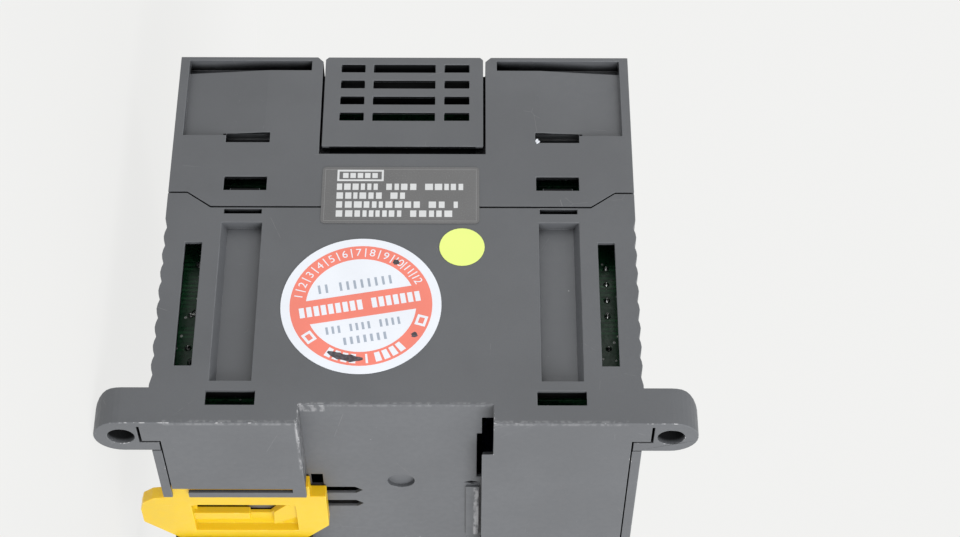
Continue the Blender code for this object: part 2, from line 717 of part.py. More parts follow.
def boards():
    """Printed circuit boards, one behind each side wall and two across the front."""
    side_z = (-SIDE_BOARD_HALF, SIDE_BOARD_HALF)
    for name, side in (("output_board", 1), ("power_board", -1)):
        across = span(side, SIDE_BOARD_IN, SIDE_BOARD_IN + BOARD)
        finish(solid(name, block(across, (8.0, 54.5), side_z)), PCB)
    deck = (TERMINAL_BOARD_REAR, TERMINAL_BOARD_REAR + BOARD)
    finish(solid("terminal_board", block((-30.5, 30.5), deck, (-42.0, 42.0))), PCB)
    front = (INDICATOR_BOARD_REAR, INDICATOR_BOARD_REAR + BOARD)
    finish(solid("indicator_board", block((-30.5, 30.5), front, (-15.0, 15.0))), PCB)


def connectors():
    """Board-to-board headers and the expansion connector behind the label."""
    for name, side in (("board_connector_right", 1), ("board_connector_left", -1)):
        across = span(side, 23.7, SIDE_BOARD_IN - GAP)
        finish(solid(name, block(across, (48.5, 55.7), (-12.0, 12.0))), CREAM)
    low = SIDE_BOARD_IN + BOARD + GAP
    socket = solid("expansion_connector", block((low, 34.2), (47.6, 53.8), (-12.3, 12.3)))
    cut(socket, block((31.5, 35.0), (49.4, 52.0), (-11.3, 11.3)))
    finish(socket, BLACK)


def power_parts():
    """Transformer and reservoir capacitors on the power board."""
    left = -SIDE_BOARD_IN + GAP
    core = solid("transformer_core", block((left, -8.0), (12.0, 34.0), (-12.0, 12.0)))
    cut(core, block((left + 4.0, -12.0), (10.0, 36.0), (-8.0, 8.0)))
    finish(core, FERRITE)
    outline = rounded((left + 4.4, -12.4), (13.0, 33.0), 2.0)
    coil = solid("transformer_winding", (outline, -7.6, 7.6, along_z))
    finish(coil, TAPE)
    for name, z, radius in (("capacitor_large", 22.0, 6.5), ("capacitor_small", 35.0, 5.0)):
        outline = circle(z, 20.0, radius, 28)
        finish(solid(name, (outline, left, left + 24.0, along_x)), SLEEVE)


def logic_parts():
    """Relays, processor and backup battery on the output board."""
    right = SIDE_BOARD_IN - GAP
    for i in range(3):
        low = -40.0 + i * 11.5
        relay = solid(f"relay_{i + 1}", block((right - 15.5, right), (14.0, 40.0), (low, low + 10.0)))
        finish(relay, RELAY)
    finish(solid("processor", block((right - 1.4, right), (18.0, 34.0), (8.0, 24.0))), BLACK)
    cell = (circle(right - 5.4, 42.0, 5.0, 24), 8.0, 30.0, along_z)
    finish(solid("backup_battery", cell), STEEL)


def build():
    """Make every piece of the module."""
    for old in list(bpy.data.objects):
        bpy.data.objects.remove(old)
    rear_case()
    end_wall("upper_end_wall", 1)
    end_wall("lower_end_wall", -1)
    front_case()
    centre_cover()
    terminal_lid("upper_terminal_cover", 1)
    terminal_lid("lower_terminal_cover", -1)
    din_lever()
    plate_on_side("connector_label", rounded((-15.35, 15.1), (43.9, 57.3), 0.8), SHEET, 0.12)
    plate_on_side("inspection_sticker", circle(-6.96, 25.3, 15.0, 72), PAPER, 0.12)
    plate_on_side("colour_dot", circle(11.8, 38.5, 4.3, 36), LIME, 0.1)
    access_door()
    indicator_lens()
    light_pipe()
    port_pieces()
    mode_switch()
    boards()
    connectors()
    power_parts()
    logic_parts()
    for row, sign in (("upper", 1), ("lower", -1)):
        terminal_block(f"{row}_terminal_block", sign)
        for i, x in enumerate(terminal_positions()):
            terminal_screw(f"{row}_terminal_screw_{i + 1}", x, sign)


build()
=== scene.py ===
"""Looks of the rail-mounted controller module: softened edges, materials, prints and solder joints.

Sizes are in millimetres until they reach place(), which turns them into metres.
x runs across the module, d is the distance forward of the rear plane and z is up.
"""

import math
import random

import bmesh
import bpy
from mathutils import Euler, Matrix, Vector


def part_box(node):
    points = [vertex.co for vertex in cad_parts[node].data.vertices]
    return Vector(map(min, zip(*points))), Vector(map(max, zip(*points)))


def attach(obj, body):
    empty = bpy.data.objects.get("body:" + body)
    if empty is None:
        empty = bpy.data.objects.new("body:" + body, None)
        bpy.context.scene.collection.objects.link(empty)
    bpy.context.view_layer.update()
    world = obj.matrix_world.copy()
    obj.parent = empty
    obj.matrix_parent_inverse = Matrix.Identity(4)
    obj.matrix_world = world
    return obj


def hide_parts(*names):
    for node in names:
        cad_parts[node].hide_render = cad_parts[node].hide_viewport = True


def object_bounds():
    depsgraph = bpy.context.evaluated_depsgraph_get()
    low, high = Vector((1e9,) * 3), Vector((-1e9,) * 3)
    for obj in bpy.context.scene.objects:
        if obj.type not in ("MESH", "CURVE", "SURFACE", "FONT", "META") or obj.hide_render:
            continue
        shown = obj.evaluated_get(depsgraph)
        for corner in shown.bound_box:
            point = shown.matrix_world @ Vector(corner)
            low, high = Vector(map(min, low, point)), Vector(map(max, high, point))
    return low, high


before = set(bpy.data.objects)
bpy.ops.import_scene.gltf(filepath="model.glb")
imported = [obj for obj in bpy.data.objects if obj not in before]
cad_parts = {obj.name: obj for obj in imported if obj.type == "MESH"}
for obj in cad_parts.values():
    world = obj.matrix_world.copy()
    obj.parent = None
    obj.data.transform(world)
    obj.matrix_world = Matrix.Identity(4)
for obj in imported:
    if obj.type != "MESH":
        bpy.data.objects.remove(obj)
CAD_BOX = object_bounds()

MM = 0.001
REAR_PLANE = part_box("rear_case")[1].y
PRINT = 0.006
PRINT_ROOM = 0.02
SEED = 7

# Linear colours
CHARCOAL = (0.095, 0.0995, 0.108)
CHARCOAL_WORN = (0.30, 0.30, 0.31)
YELLOW = (0.46, 0.345, 0.015)
# Painted glow colour for the latch, standing in for light scattered inside the nylon
YELLOW_GLOW = (0.26, 0.125, 0.0)
YELLOW_WORN = (0.56, 0.45, 0.09)
BLACK = (0.012, 0.012, 0.013)
BLACK_WORN = (0.06, 0.06, 0.065)
FILM = (0.118, 0.118, 0.120)
PAPER = (0.75, 0.78, 0.84)
SALMON = (0.80, 0.205, 0.15)
LIME = (0.74, 0.86, 0.22)
INK_GREY = (0.33, 0.38, 0.46)
INK_BLACK = (0.03, 0.025, 0.03)
BAR_WHITE = (0.62, 0.63, 0.64)
MASK_GREEN = (0.004, 0.050, 0.018)
TRACK_GREEN = (0.018, 0.13, 0.045)
TIN = (0.66, 0.67, 0.66)
STEEL = (0.56, 0.56, 0.57)
CREAM = (0.60, 0.55, 0.43)
FERRITE = (0.035, 0.035, 0.038)
TAPE = (0.62, 0.40, 0.035)
SLEEVE = (0.015, 0.022, 0.075)
RELAY = (0.016, 0.045, 0.15)
CLEAR = (0.78, 0.80, 0.82)
SMOKE = (0.16, 0.165, 0.175)
BACKDROP = (0.885, 0.885, 0.875)
FLOOR = (0.83, 0.83, 0.815)

# Round inspection sticker, in its own turned axes
STICKER_TURN = math.radians(10.3)
RING_IN = 10.3
RING_OUT = 13.3
BAND_HALF = 2.6
RING_MID = (RING_IN + RING_OUT) / 2
DIAL_CELLS = 12
NUMBER_SIZE = 2.3
PEN_SPOTS = ((7.95, 8.33, 0.66), (8.74, -8.27, 0.6))

# Label over the expansion connector
LABEL_MARGIN = 2.9
LABEL_LINE = 1.5
LABEL_PITCH = 2.12
LABEL_DASH = 1.8
LABEL_WORDS = ((6, 4, 5), (6, 2), (10, 2, 1), (9, 5))
HEADING_DROP = 3.4
HEADING_HEIGHT = 2.7

# Solder joints and small parts on the side boards
JOINT_R = 0.95
JOINT_RISE = 0.9
JOINT_PITCH = 3.6
CHIP = (0.6, 1.4, 1.3)
CHIP_END = 0.48
CHIP_ROWS = 11
CHIP_ROW_PITCH = 7.1
CHIP_COLUMNS = 4
CHIP_COLUMN_PITCH = 9.5
CHIP_MARGIN = (9.0, 5.6)
CHIP_GAPS = 0.35

# Scrap caught in the upper front snap slot
SCRAP_D = 63.7
SCRAP_Z = 26.5
SCRAP_SIZE = (0.3, 0.75, 0.42)

# Mounting holes, whose walls get painted shade, and places rubbed pale, as x, d and z ranges with a
# strength
EAR_X = 30.0
EAR_Z = 50.0
EAR_BORE = 2.6
WORN_PLACES = (
    ((-15.2, 4.3), (2.8, 3.8), (14.1, 15.3), 0.8),
    ((15.0, 35.3), (-0.5, 0.7), (-18.2, -17.2), 0.7),
    ((14.0, 35.3), (0.5, 3.6), (-17.8, -17.3), 0.45),
    ((34.3, 35.3), (3.3, 4.4), (-17.6, 17.6), 0.2),
    ((32.5, 35.3), (3.0, 4.2), (-17.6, -13.0), 0.4),
    ((34.2, 35.3), (-0.5, 0.6), (-42.0, 42.0), 0.22),
)

# Places behind the vents and slots that light doesn't reach, as skin left outside, d and z ranges and a
# strength. The slots are mirrored below the rail's centre line.
DARK_VENTS = (0.15, (61.5, 83.3), (-14.4, 14.4), 0.94)
DARK_SLOTS = (
    (0.15, (62.6, 66.0), (25.2, 35.4), 0.94),
    (0.15, (50.9, 55.9), (25.2, 35.4), 0.94),
    (0.73, (6.2, 7.7), (24.7, 35.4), 0.94),
    (0.73, (11.3, 40.4), (36.8, 41.6), 0.9),
)

# Bevel widths of the case mouldings, and the angles that part flat faces and edges
CASE_BEVEL = 0.13
FRONT_BEVEL = 0.12
WALL_BEVEL = 0.18
COVER_BEVEL = 0.15
LEVER_BEVEL = 0.12
JOIN_REACH = 0.001
FLAT_ANGLE = math.radians(0.5)
EDGE_ANGLE = math.radians(28)

# Lamps, as a position in metres, a size and a power
REAR_LAMP = ((0.30, 0.75, 0.35), 0.6, 8.0)
FRONT_LAMP = ((0.50, -0.50, 0.10), 0.5, 0.45)

# Camera, as (x, d, z) and turns in degrees, and the floor's fade
CAMERA_PLACE = (370.178, -192.408, 13.629)
CAMERA_TURN = (-148.61087, -89.73675, 2.60545)
LENS = 80.406
FLOOR_RADIUS = 4.0
FLOOR_DROP = 0.2
FLOOR_NEAR = 60.0
FLOOR_FAR = 260.0
FLOOR_GLOW = 0.9


def place(x, d, z):
    """Millimetres across, forward and up, as a point in metres."""
    return Vector((x * MM, REAR_PLANE - d * MM, z * MM))


def box_mm(node):
    """Low and high corner of a CAD node as ((x, x), (d, d), (z, z)) in millimetres."""
    low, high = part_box(node)
    depth = ((REAR_PLANE - high.y) / MM, (REAR_PLANE - low.y) / MM)
    return (low.x / MM, high.x / MM), depth, (low.z / MM, high.z / MM)


def dark_places():
    """Boxes of painted shade from DARK_VENTS and DARK_SLOTS, as x, d and z ranges with a strength."""
    half = box_mm("rear_case")[0][1]
    skin, depths, heights, strength = DARK_VENTS
    places = [((skin - half, half - skin), depths, heights, strength)]
    for skin, depths, heights, strength in DARK_SLOTS:
        for z in (heights, (-heights[1], -heights[0])):
            places.append(((skin - half, half - skin), depths, z, strength))
    return places


def middle(span):
    """Middle of a (low, high) pair."""
    return (span[0] + span[1]) / 2


# Node graphs


class Graph:
    """A material's node tree, with coordinates in millimetres of the module's frame."""

    def __init__(self, name):
        self.material = bpy.data.materials.new(name)
        self.material.use_nodes = True
        self.tree = self.material.node_tree
        self.tree.nodes.clear()
        position = self.add("TexCoord").outputs["Object"]
        self.mm = self.scaled((1000, 1000, 1000), position)

    def add(self, kind, sockets=None, **settings):
        """New node; sockets maps a name or number to a value or to another node's output."""
        node = self.tree.nodes.new("ShaderNode" + kind)
        for name, value in settings.items():
            setattr(node, name, value)
        for key, value in (sockets or {}).items():
            if isinstance(value, bpy.types.NodeSocket):
                self.tree.links.new(value, node.inputs[key])
            else:
                node.inputs[key].default_value = value
        return node

    def scaled(self, factors, vector=None):
        """Coordinates multiplied axis by axis."""
        source = self.mm if vector is None else vector
        node = self.add("VectorMath", {0: source, 1: factors}, operation="MULTIPLY")
        return node.outputs["Vector"]

    def math(self, operation, a, b=0.0):
        """One arithmetic step on two numbers."""
        return self.add("Math", {0: a, 1: b}, operation=operation).outputs[0]

    def noise(self, scale, detail=2.0, vector=None):
        """Cloudy noise between 0 and 1, with scale in features per millimetre."""
        source = self.mm if vector is None else vector
        node = self.add("TexNoise", {"Vector": source, "Scale": scale, "Detail": detail})
        return node.outputs["Fac"]

    def remap(self, value, low, high, to_low=0.0, to_high=1.0):
        """Smooth step from one range to another."""
        sockets = {"Value": value, "From Min": low, "From Max": high}
        sockets.update({"To Min": to_low, "To Max": to_high})
        return self.add("MapRange", sockets, interpolation_type="SMOOTHSTEP").outputs[0]

    def mix(self, factor, a, b):
        """Blend of two colours."""
        node = self.add("Mix", {0: factor, 6: opaque(a), 7: opaque(b)}, data_type="RGBA")
        return node.outputs[2]

    def axis(self, name):
        """One coordinate in millimetres."""
        return self.add("SeparateXYZ", {0: self.mm}).outputs[name]

    def specks(self, per_mm, radius, share):
        """Mask of scattered round specks, with radius in millimetres and the share of cells used."""
        cells = self.add("TexVoronoi", {"Vector": self.mm, "Scale": per_mm})
        near = self.remap(cells.outputs["Distance"], radius * per_mm * 0.7, radius * per_mm, 1, 0)
        chance = self.add("SeparateColor", {0: cells.outputs["Color"]}).outputs[0]
        return self.math("MULTIPLY", near, self.math("LESS_THAN", chance, share))

    def hairlines(self, per_mm, width, rarity):
        """Mask of broken straight hairline scratches."""
        sockets = {"Vector": self.mm, "Scale": per_mm}
        cells = self.add("TexVoronoi", sockets, feature="DISTANCE_TO_EDGE")
        line = self.remap(cells.outputs["Distance"], 0, width * per_mm, 1, 0)
        broken = self.remap(self.noise(per_mm * 2.3, 3), rarity, rarity + 0.04)
        return self.math("MULTIPLY", line, broken)

    def shelter(self, reach, free, closed):
        """Painted shade mask from ambient occlusion: 0 on open faces to 1 deep inside slots; the floor
        just below doesn't count.
        """
        node = self.add("AmbientOcclusion", {"Distance": reach * MM}, samples=8)
        lowest = CAD_BOX[0].z / MM
        raised = self.remap(self.axis("Z"), lowest + reach / 2, lowest + reach)
        return self.math("MULTIPLY", self.remap(node.outputs["AO"], closed, free, 1, 0), raised)

    def within(self, axis, low, high, fade):
        """Mask of a band along one axis, with soft ends, in millimetres."""
        value = self.axis(axis)
        above = self.remap(value, low - fade, low + fade)
        below = self.remap(value, high - fade, high + fade, 1, 0)
        return self.math("MULTIPLY", above, below)

    def inside(self, x, d, z, fade=0.2):
        """Mask of a box given in x, d and z."""
        rear = REAR_PLANE / MM
        mask = self.math("MULTIPLY", self.within("X", *x, fade), self.within("Z", *z, fade))
        return self.math("MULTIPLY", mask, self.within("Y", rear - d[1], rear - d[0], fade))

    def ear_bores(self):
        """Mask of the walls of the four mounting holes, where shade is painted."""
        across = self.math("SUBTRACT", self.math("ABSOLUTE", self.axis("X")), EAR_X)
        up = self.math("SUBTRACT", self.math("ABSOLUTE", self.axis("Z")), EAR_Z)
        spot = self.add("CombineXYZ", {0: across, 1: up})
        away = self.add("VectorMath", {0: spot.outputs[0]}, operation="LENGTH").outputs["Value"]
        deep = self.remap(self.axis("Y"), REAR_PLANE / MM - 1.2, REAR_PLANE / MM - 0.2, 1, 0)
        return self.math("MULTIPLY", self.remap(away, EAR_BORE, EAR_BORE + 0.1, 1, 0), deep)

    def bump(self, height, distance, strength=1.0, normal=None):
        """Surface relief, with distance in millimetres."""
        sockets = {"Height": height, "Distance": distance * MM, "Strength": strength}
        if normal is not None:
            sockets["Normal"] = normal
        return self.add("Bump", sockets).outputs[0]

    def surface(self, **inputs):
        """Finish with a Principled shader and give the material back."""
        sockets = {key.replace("_", " "): value for key, value in inputs.items()}
        shader = self.add("BsdfPrincipled", sockets)
        self.add("OutputMaterial", {0: shader.outputs[0]})
        return self.material


def opaque(colour):
    """A colour with alpha, or a socket passed through."""
    return colour if isinstance(colour, bpy.types.NodeSocket) else (*colour, 1.0)


def shaded(colour, factor):
    """A colour made darker or lighter."""
    return tuple(channel * factor for channel in colour)


def moulded(name, colour, worn, roughness=0.47, wear=0.0, dust=1.0, gloss=0.5, depth=0.0, milky_and_glow=0.0):
    """Moulded plastic with a fine spark-eroded grain, dust, hairline scratches and rubbed patches, with
    painted shade in holes, slots and recesses when depth is given and a painted orange glow where it is
    milky.
    """
    g = Graph(name)
    cloud = g.remap(g.noise(0.05, 3), 0.32, 0.68)
    mottle = g.remap(g.noise(0.7, 3), 0.3, 0.7)
    grain = g.noise(6.5, 2)
    tone = g.mix(cloud, shaded(colour, 0.93), shaded(colour, 1.06))
    tone = g.mix(g.math("MULTIPLY", mottle, 0.35), tone, shaded(colour, 1.12))
    tone = g.mix(g.math("MULTIPLY", g.remap(grain, 0.35, 0.7), 0.25), tone, shaded(colour, 0.8))
    scratches = g.hairlines(0.06, 0.05, 0.58)
    tone = g.mix(g.math("MULTIPLY", scratches, 0.3), tone, worn)
    lint = g.math("MULTIPLY", g.specks(0.28, 0.13, 0.25), dust)
    fine = g.math("MULTIPLY", g.specks(0.9, 0.07, 0.16), 0.55 * dust)
    tone = g.mix(g.math("MAXIMUM", lint, fine), tone, shaded(worn, 1.2))
    rough = g.remap(mottle, 0, 1, roughness - 0.05, roughness + 0.07)
    if wear > 0:
        rubbed = g.remap(g.noise(0.55, 4), 0.70 - 0.28 * wear, 0.80 - 0.24 * wear)
        tone = g.mix(g.math("MULTIPLY", rubbed, 0.8), tone, worn)
    if depth > 0:
        streaks = g.remap(g.noise(1.3, 5, g.scaled((0.35, 1, 1))), 0.38, 0.62)
        for x, d, z, strength in WORN_PLACES:
            patch = g.math("MULTIPLY", g.inside(x, d, z), streaks)
            tone = g.mix(g.math("MULTIPLY", patch, strength), tone, shaded(worn, 1.3))
        # Painted shade: the mounting hole walls, the places behind vents and slots and occluded recesses
        # go towards near black and lose their gloss.
        dark = g.math("MULTIPLY", g.ear_bores(), 0.92)
        for x, d, z, strength in dark_places():
            dark = g.math("MAXIMUM", dark, g.math("MULTIPLY", g.inside(x, d, z, 0.03), strength))
        dark = g.math("MAXIMUM", dark, g.shelter(depth, 0.52, 0.12))
        tone = g.mix(dark, tone, shaded(colour, 0.04))
        gloss = g.math("MULTIPLY", g.math("SUBTRACT", 1.0, dark), gloss)
    relief = g.bump(grain, 0.02, 0.5)
    relief = g.bump(g.math("SUBTRACT", 1.0, scratches), 0.03, 0.6, relief)
    # Subsurface gives real translucency; the emission is a painted orange glow that brightens the latch in
    # shade.
    return g.surface(
        Base_Color=tone, Roughness=rough, Normal=relief, Specular_IOR_Level=gloss, IOR=1.5,
        Subsurface_Weight=milky_and_glow, Subsurface_Radius=(1.0, 0.55, 0.05), Subsurface_Scale=1.5 * MM,
        Emission_Color=opaque(YELLOW_GLOW), Emission_Strength=2 * milky_and_glow,
    )


def charcoal_edge(name):
    """Edges of the case: lightly polished all over, rubbed pale at the rear corners and on the channel,
    with painted shade where they sit in slots and recesses.
    """
    g = Graph(name)
    forward = g.math("SUBTRACT", REAR_PLANE / MM, g.axis("Y"))
    rear = g.remap(forward, 1.0, 7.0, 1, 0)
    end = g.math("MULTIPLY", rear, g.within("X", 27.0, 36.0, 1.5))
    coarse = g.math("MULTIPLY", g.noise(0.25, 6), 0.6)
    chips = g.math("ADD", coarse, g.math("MULTIPLY", g.noise(1.9, 4), 0.4))
    closer = g.math("ADD", g.math("MULTIPLY", rear, 0.09), g.math("MULTIPLY", end, 0.05))
    threshold = g.math("SUBTRACT", 0.68, closer)
    rubbed = g.remap(g.math("SUBTRACT", chips, threshold), 0.0, 0.07)
    rib = g.inside((-15.0, 4.4), (2.5, 4.2), (14.9, 15.3))
    rubbed = g.math("MAXIMUM", rubbed, g.math("MULTIPLY", rib, g.remap(chips, 0.25, 0.5)))
    tone = g.mix(g.remap(g.noise(0.3, 3), 0.3, 0.7), shaded(CHARCOAL, 1.0), shaded(CHARCOAL, 1.25))
    # Painted shade on edges deep in slots and recesses.
    tone = g.mix(g.shelter(2.5, 0.85, 0.25), tone, shaded(CHARCOAL, 0.1))
    tone = g.mix(g.math("MULTIPLY", rubbed, 0.75), tone, shaded(CHARCOAL_WORN, 1.5))
    relief = g.bump(chips, 0.05, 0.4)
    return g.surface(Base_Color=tone, Roughness=0.42, Normal=relief)


def film(name, colour, roughness, mottle=0.06):
    """Printed or plain adhesive film with faint ripples under a satin coat."""
    g = Graph(name)
    fibre = g.noise(3.5, 4)
    patch = g.remap(g.noise(0.12, 2), 0.3, 0.7)
    tone = g.mix(patch, shaded(colour, 1 - mottle), shaded(colour, 1 + mottle * 0.4))
    tone = g.mix(g.math("MULTIPLY", g.remap(fibre, 0.4, 0.8), 0.3), tone, shaded(colour, 0.92))
    tone = g.mix(g.math("MULTIPLY", g.specks(0.5, 0.08, 0.08), 0.5), tone, shaded(colour, 0.6))
    ripple = g.bump(g.noise(0.25, 2), 0.12, 0.5)
    relief = g.bump(fibre, 0.008, 0.4, ripple)
    rough = g.remap(fibre, 0.3, 0.7, roughness - 0.04, roughness + 0.05)
    return g.surface(Base_Color=tone, Roughness=rough, Normal=relief)


def pen_ink(name):
    """Felt pen ink, uneven where strokes cross."""
    g = Graph(name)
    tone = g.mix(g.remap(g.noise(2.0, 3), 0.3, 0.7), INK_BLACK, shaded(INK_BLACK, 3.0))
    rough = g.remap(g.noise(5.0, 2), 0.3, 0.7, 0.35, 0.5)
    return g.surface(Base_Color=tone, Roughness=rough)


def circuit_board(name):
    """Solder mask over straight tracks, with pale via dots and painted shade where the board lies deep
    inside the case.
    """
    g = Graph(name)
    grid = g.add("TexBrick", {"Vector": g.scaled((1, 0.62, 1)), "Scale": 0.42, "Mortar Size": 0.06})
    grid.inputs["Color1"].default_value = (1, 1, 1, 1)
    grid.inputs["Color2"].default_value = (0.25, 0.25, 0.25, 1)
    grid.inputs["Mortar"].default_value = (0, 0, 0, 1)
    chance = g.remap(g.noise(0.16, 1), 0.45, 0.55)
    tracks = g.math("MULTIPLY", grid.outputs["Color"], chance)
    tone = g.mix(tracks, MASK_GREEN, TRACK_GREEN)
    vias = g.specks(0.45, 0.32, 0.45)
    tone = g.mix(g.math("MULTIPLY", vias, 0.8), tone, TIN)
    tone = g.mix(g.math("MULTIPLY", g.noise(1.5, 3), 0.3), tone, shaded(MASK_GREEN, 0.6))
    # Painted shade where the board is occluded by the case and its parts.
    tone = g.mix(g.shelter(6.0, 0.8, 0.1), tone, shaded(MASK_GREEN, 0.1))
    relief = g.bump(g.math("ADD", tracks, vias), 0.05, 0.6)
    rough = g.remap(g.noise(1.2, 3), 0.3, 0.7, 0.24, 0.4)
    return g.surface(Base_Color=tone, Roughness=rough, Normal=relief, Specular_IOR_Level=0.3)


def metal(name, colour, roughness, brushed=(1.0, 1.0, 1.0), tarnish=0.25):
    """Plated or soldered metal, with fine brushing and dull patches."""
    g = Graph(name)
    lines = g.noise(2.2, 3, g.scaled(brushed))
    patch = g.remap(g.noise(0.5, 4), 0.4, 0.75)
    tone = g.mix(g.math("MULTIPLY", patch, tarnish), colour, shaded(colour, 0.45))
    rough = g.remap(lines, 0.3, 0.7, roughness - 0.08, roughness + 0.1)
    relief = g.bump(lines, 0.02, 0.5)
    return g.surface(Base_Color=tone, Metallic=1.0, Roughness=rough, Normal=relief)


def ferrite_core(name):
    """Sintered ferrite: dark, matt and finely pitted."""
    g = Graph(name)
    pits = g.specks(1.6, 0.16, 0.4)
    tone = g.mix(g.noise(1.1, 4), shaded(FERRITE, 0.7), shaded(FERRITE, 1.5))
    relief = g.bump(g.math("SUBTRACT", g.noise(4, 3), pits), 0.04, 0.6)
    return g.surface(Base_Color=tone, Roughness=0.62, Normal=relief)


def wound_tape(name):
    """Overlapping turns of film tape."""
    g = Graph(name)
    turn = g.math("FRACT", g.math("MULTIPLY", g.axis("Y"), 0.17))
    step = g.remap(turn, 0.0, 0.05)
    tone = g.mix(step, shaded(TAPE, 0.6), TAPE)
    tone = g.mix(g.math("MULTIPLY", g.noise(0.8, 3), 0.4), tone, shaded(TAPE, 0.75))
    relief = g.bump(turn, 0.12, 0.7)
    return g.surface(Base_Color=tone, Roughness=0.36, Normal=relief, Coat_Weight=0.3)


def glossy(name, colour, roughness=0.2):
    """Smooth moulded or shrunk plastic with a soft sheen and handling marks."""
    g = Graph(name)
    smear = g.noise(0.35, 4)
    tone = g.mix(g.remap(smear, 0.3, 0.7), shaded(colour, 0.85), shaded(colour, 1.15))
    rough = g.remap(smear, 0.3, 0.7, roughness - 0.04, roughness + 0.12)
    relief = g.bump(g.noise(1.4, 3), 0.02, 0.4)
    return g.surface(Base_Color=tone, Roughness=rough, Normal=relief, Coat_Weight=0.2)


def see_through(name, colour, clarity, roughness):
    """Tinted or clear plastic with faint flow marks."""
    g = Graph(name)
    flow = g.noise(0.3, 3, g.scaled((1, 1, 3)))
    tone = g.mix(g.remap(flow, 0.3, 0.7), shaded(colour, 0.9), shaded(colour, 1.1))
    rough = g.remap(g.noise(1.5, 3), 0.3, 0.7, roughness, roughness + 0.08)
    return g.surface(
        Base_Color=tone, Roughness=rough, Transmission_Weight=clarity, IOR=1.49,
        Normal=g.bump(flow, 0.02, 0.3),
    )


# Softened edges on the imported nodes


def soften(node, surface, edge=None, width=0.15, joined=True):
    """Give a CAD node its material and a bevelled, evenly shaded surface, without touching its mesh.

    A node whose flat faces have many openings is left as it is instead of being joined first.
    """
    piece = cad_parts[node]
    slots = piece.data.materials
    slots[0] = surface
    slots.append(edge or surface)
    weld = piece.modifiers.new("join_corners", "WELD")
    weld.merge_threshold = JOIN_REACH * MM
    if joined:
        flat = piece.modifiers.new("join_flat_faces", "DECIMATE")
        flat.decimate_type = "DISSOLVE"
        flat.angle_limit = FLAT_ANGLE
    bevel = piece.modifiers.new("soft_edges", "BEVEL")
    bevel.width = width * MM
    bevel.segments = 2
    bevel.limit_method = "ANGLE"
    bevel.angle_limit = EDGE_ANGLE
    bevel.use_clamp_overlap = False
    bevel.material = 1
    normals = piece.modifiers.new("even_normals", "WEIGHTED_NORMAL")
    normals.keep_sharp = True
    return piece


def dress_case():
    """Case mouldings, covers and door."""
    # The case mouldings get painted shade in holes, vents, slots and recesses.
    body = moulded("case_plastic", CHARCOAL, CHARCOAL_WORN, depth=5.0)
    edge = charcoal_edge("case_edge")
    for node in ("rear_case", "centre_cover"):
        soften(node, body, edge, CASE_BEVEL, joined=False)
    soften("front_case", body, edge, FRONT_BEVEL)
    for node in ("upper_end_wall", "lower_end_wall"):
        soften(node, body, edge, WALL_BEVEL)
    cover = moulded("cover_plastic", CHARCOAL, CHARCOAL_WORN, roughness=0.42, dust=0.6)
    for node in ("upper_terminal_cover", "lower_terminal_cover", "port_cover"):
        soften(node, cover, edge, COVER_BEVEL)
    # Both latch materials get a painted orange glow besides their translucency.
    lever = moulded("latch_nylon", YELLOW, YELLOW_WORN, roughness=0.36, dust=0.3, milky_and_glow=0.5)
    rubbed = moulded("latch_edge", YELLOW, YELLOW_WORN, roughness=0.4, wear=0.5, dust=0.3, milky_and_glow=0.5)
    soften("din_lever", lever, rubbed, LEVER_BEVEL)


def dress_electrics():
    """Boards, terminals and the parts held inside."""
    board = circuit_board("solder_mask")
    for node in ("output_board", "power_board", "terminal_board", "indicator_board"):
        soften(node, board, width=0.08)
    black = moulded("black_plastic", BLACK, BLACK_WORN, roughness=0.5, dust=0.8)
    dark = ["expansion_connector", "port_insert", "mode_switch_slider", "processor"]
    for node in dark + ["upper_terminal_block", "lower_terminal_block"]:
        soften(node, black, width=0.1)
    cream = moulded("cream_plastic", CREAM, shaded(CREAM, 1.4), roughness=0.5)
    for node in ("board_connector_right", "board_connector_left"):
        soften(node, cream, width=0.15)
    screw = metal("screw_steel", STEEL, 0.32, brushed=(6, 1, 1))
    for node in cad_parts:
        if "terminal_screw" in node:
            soften(node, screw, width=0.1)
    plate = metal("plated_steel", STEEL, 0.28, brushed=(1, 1, 8))
    for node in ("port_shell", "mode_switch_body", "backup_battery"):
        soften(node, plate, width=0.12)
    sleeve = glossy("shrink_sleeve", SLEEVE)
    for node in ("capacitor_large", "capacitor_small"):
        soften(node, sleeve, width=0.5)
    relay = glossy("relay_plastic", RELAY, 0.3)
    for number in (1, 2, 3):
        soften(f"relay_{number}", relay, width=0.4)
    soften("transformer_core", ferrite_core("ferrite"), width=0.3)
    soften("transformer_winding", wound_tape("film_tape"), width=0.4)
    soften("indicator_lens", see_through("smoked_plastic", SMOKE, 0.8, 0.06), width=0.04)
    soften("light_pipe", see_through("clear_plastic", CLEAR, 0.9, 0.1), width=0.1)


# Sheets and prints on the right side face


def prism(mesh, outline, low, high):
    """Add a thin closed prism whose outline is in (z, d), from low to high in x."""
    rings = [[mesh.verts.new(place(x, d, z)) for z, d in outline] for x in (low, high)]
    count = len(outline)
    for i in range(count):
        j = (i + 1) % count
        mesh.faces.new((rings[0][i], rings[0][j], rings[1][j], rings[1][i]))
    mesh.faces.new(rings[1])
    mesh.faces.new(list(reversed(rings[0])))


def piece_from(name, mesh, surface, body="case"):
    """Turn a finished bmesh into a piece that rides on a CAD body."""
    bmesh.ops.recalc_face_normals(mesh, faces=mesh.faces)
    data = bpy.data.meshes.new(name)
    mesh.to_mesh(data)
    mesh.free()
    data.materials.append(surface)
    piece = bpy.data.objects.new(name, data)
    bpy.context.scene.collection.objects.link(piece)
    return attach(piece, body)


